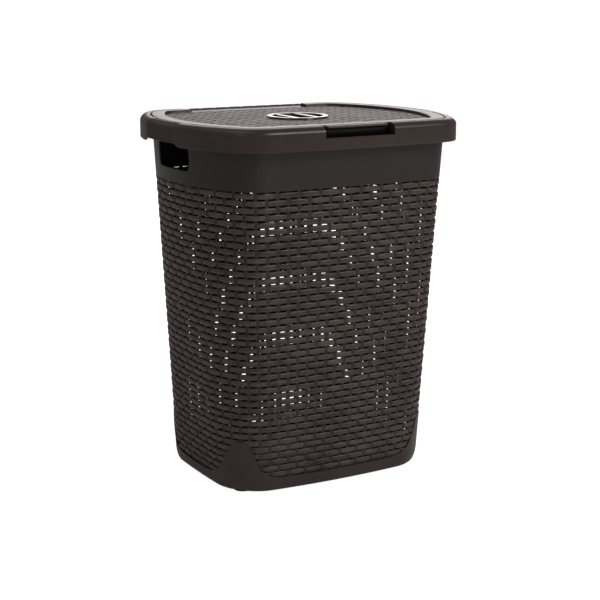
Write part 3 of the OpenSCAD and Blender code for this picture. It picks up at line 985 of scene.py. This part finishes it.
grillePiece = piece("lid_grille_ring", grilleShells(), finish["grille"], lidBody, 40)
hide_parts("lid_grille")
for name in ("hinge_pin_left", "hinge_pin_right"):
    pin = frame["nodes"][name]
    pin.data.materials.clear()
    pin.data.materials.append(finish["pin"])
print("grille and pins made")


# Stage, light and camera

stage = {"floorSize": 60.0, "floorColor": (0.90, 0.90, 0.90), "floorLift": 0.86, "backdrop": 1.15,
         "sky": 0.21, "skyColor": (1, 0.93, 0.9, 1)}


def makeStage():
    # A wide flat floor, pale and plain, with a faint speckle in its roughness
    half = stage["floorSize"] / 2
    x, y = np.meshgrid(np.linspace(-half, half, 3), np.linspace(-half, half, 3))
    points = np.stack([x, y, np.zeros_like(x)], -1)
    mesh = bpy.data.meshes.new("floor")
    mesh.from_pydata(points.reshape(-1, 3), [], gridFaces(3, 3).tolist())
    made = bpy.data.objects.new("floor", mesh)
    bpy.context.scene.collection.objects.link(made)
    material = bpy.data.materials.new("paleFloor")
    material.use_nodes = True
    tree = material.node_tree
    shader = tree.nodes["Principled BSDF"]
    noise = addNode(tree, "ShaderNodeTexNoise", {"Scale": 30})
    place = addNode(tree, "ShaderNodeTexCoord")
    tree.links.new(place.outputs["Object"], noise.inputs["Vector"])
    spread = addNode(tree, "ShaderNodeMapRange", {"To Min": 0.6, "To Max": 0.75})
    tree.links.new(noise.outputs["Fac"], spread.inputs["Value"])
    tree.links.new(spread.outputs["Result"], shader.inputs["Roughness"])
    shader.inputs["Base Color"].default_value = (*stage["floorColor"], 1)
    shader.inputs["Specular IOR Level"].default_value = 0.1
    seen = addNode(tree, "ShaderNodeLightPath")
    lift = addNode(tree, "ShaderNodeMix", data_type="RGBA")
    lift.inputs["A"].default_value = (0, 0, 0, 1)
    lift.inputs["B"].default_value = (1, 1, 1, 1)
    tree.links.new(seen.outputs["Is Camera Ray"], lift.inputs["Factor"])
    tree.links.new(lift.outputs["Result"], shader.inputs["Emission Color"])
    shader.inputs["Emission Strength"].default_value = stage["floorLift"]
    mesh.materials.append(material)

    world = bpy.data.worlds.new("softWhite")  # bright where it is seen, softer as light
    world.use_nodes = True
    tree = world.node_tree
    seen = addNode(tree, "ShaderNodeLightPath")
    level = addNode(tree, "ShaderNodeMapRange", {"To Min": stage["sky"], "To Max": stage["backdrop"]})
    tree.links.new(seen.outputs["Is Camera Ray"], level.inputs["Value"])
    tree.links.new(level.outputs["Result"], tree.nodes["Background"].inputs["Strength"])
    tint = addNode(tree, "ShaderNodeMix", data_type="RGBA")
    tint.inputs["A"].default_value = stage["skyColor"]
    tint.inputs["B"].default_value = (1, 1, 1, 1)
    tree.links.new(seen.outputs["Is Camera Ray"], tint.inputs["Factor"])
    tree.links.new(tint.outputs["Result"], tree.nodes["Background"].inputs["Color"])
    bpy.context.scene.world = world


softLights = {
    "key": {"place": (1.1, -2.5, 2.2), "size": 1.2, "power": 52, "color": (1, 0.96, 0.94)},
    "side": {"place": (-2.6, -0.8, 1.6), "size": 1.2, "power": 5, "color": (1, 0.95, 0.92)},
    "rear": {"place": (1.7, 2.8, 1.4), "size": 1.9, "power": 19, "color": (1, 0.95, 0.93)},
    "top": {"place": (-0.9, 0.3, 2.6), "size": 1.4, "power": 5, "color": (1, 0.95, 0.93)},
}


def makeLights():
    for name, light in softLights.items():
        data = bpy.data.lights.new(name + "Light", "AREA")
        data.shape = "DISK"
        data.size = light["size"]
        data.energy = light["power"]
        data.color = light["color"]
        lamp = bpy.data.objects.new(name + "Light", data)
        lamp.location = light["place"]
        aim = Vector((0, 0, 0.3)) - lamp.location
        lamp.rotation_euler = aim.to_track_quat("-Z", "Y").to_euler()
        bpy.context.scene.collection.objects.link(lamp)


cameraView = {"azimuth": 29.33, "elevation": 12.45, "distance": 2.2055, "lens": 86.56, "side": 6.43 * mm,
              "height": 0.2505}


def makeCamera():
    # The camera stands back from its target along the viewing direction and looks straight at it
    turn, tilt = math.radians(cameraView["azimuth"]), math.radians(cameraView["elevation"])
    target = Vector((cameraView["side"] * math.cos(turn), -cameraView["side"] * math.sin(turn),
                     cameraView["height"]))
    back = Vector((-math.sin(turn) * math.cos(tilt), -math.cos(turn) * math.cos(tilt), math.sin(tilt)))
    data = bpy.data.cameras.new("camera")
    data.lens = cameraView["lens"]
    data.sensor_width = 36
    camera = bpy.data.objects.new("camera", data)
    camera.location = target + back * cameraView["distance"]
    camera.rotation_euler = back.to_track_quat("Z", "Y").to_euler()
    bpy.context.scene.collection.objects.link(camera)
    bpy.context.scene.camera = camera


makeStage()
makeLights()
makeCamera()
bpy.context.scene.view_settings.view_transform = "Standard"
print("stage, lights and camera made")
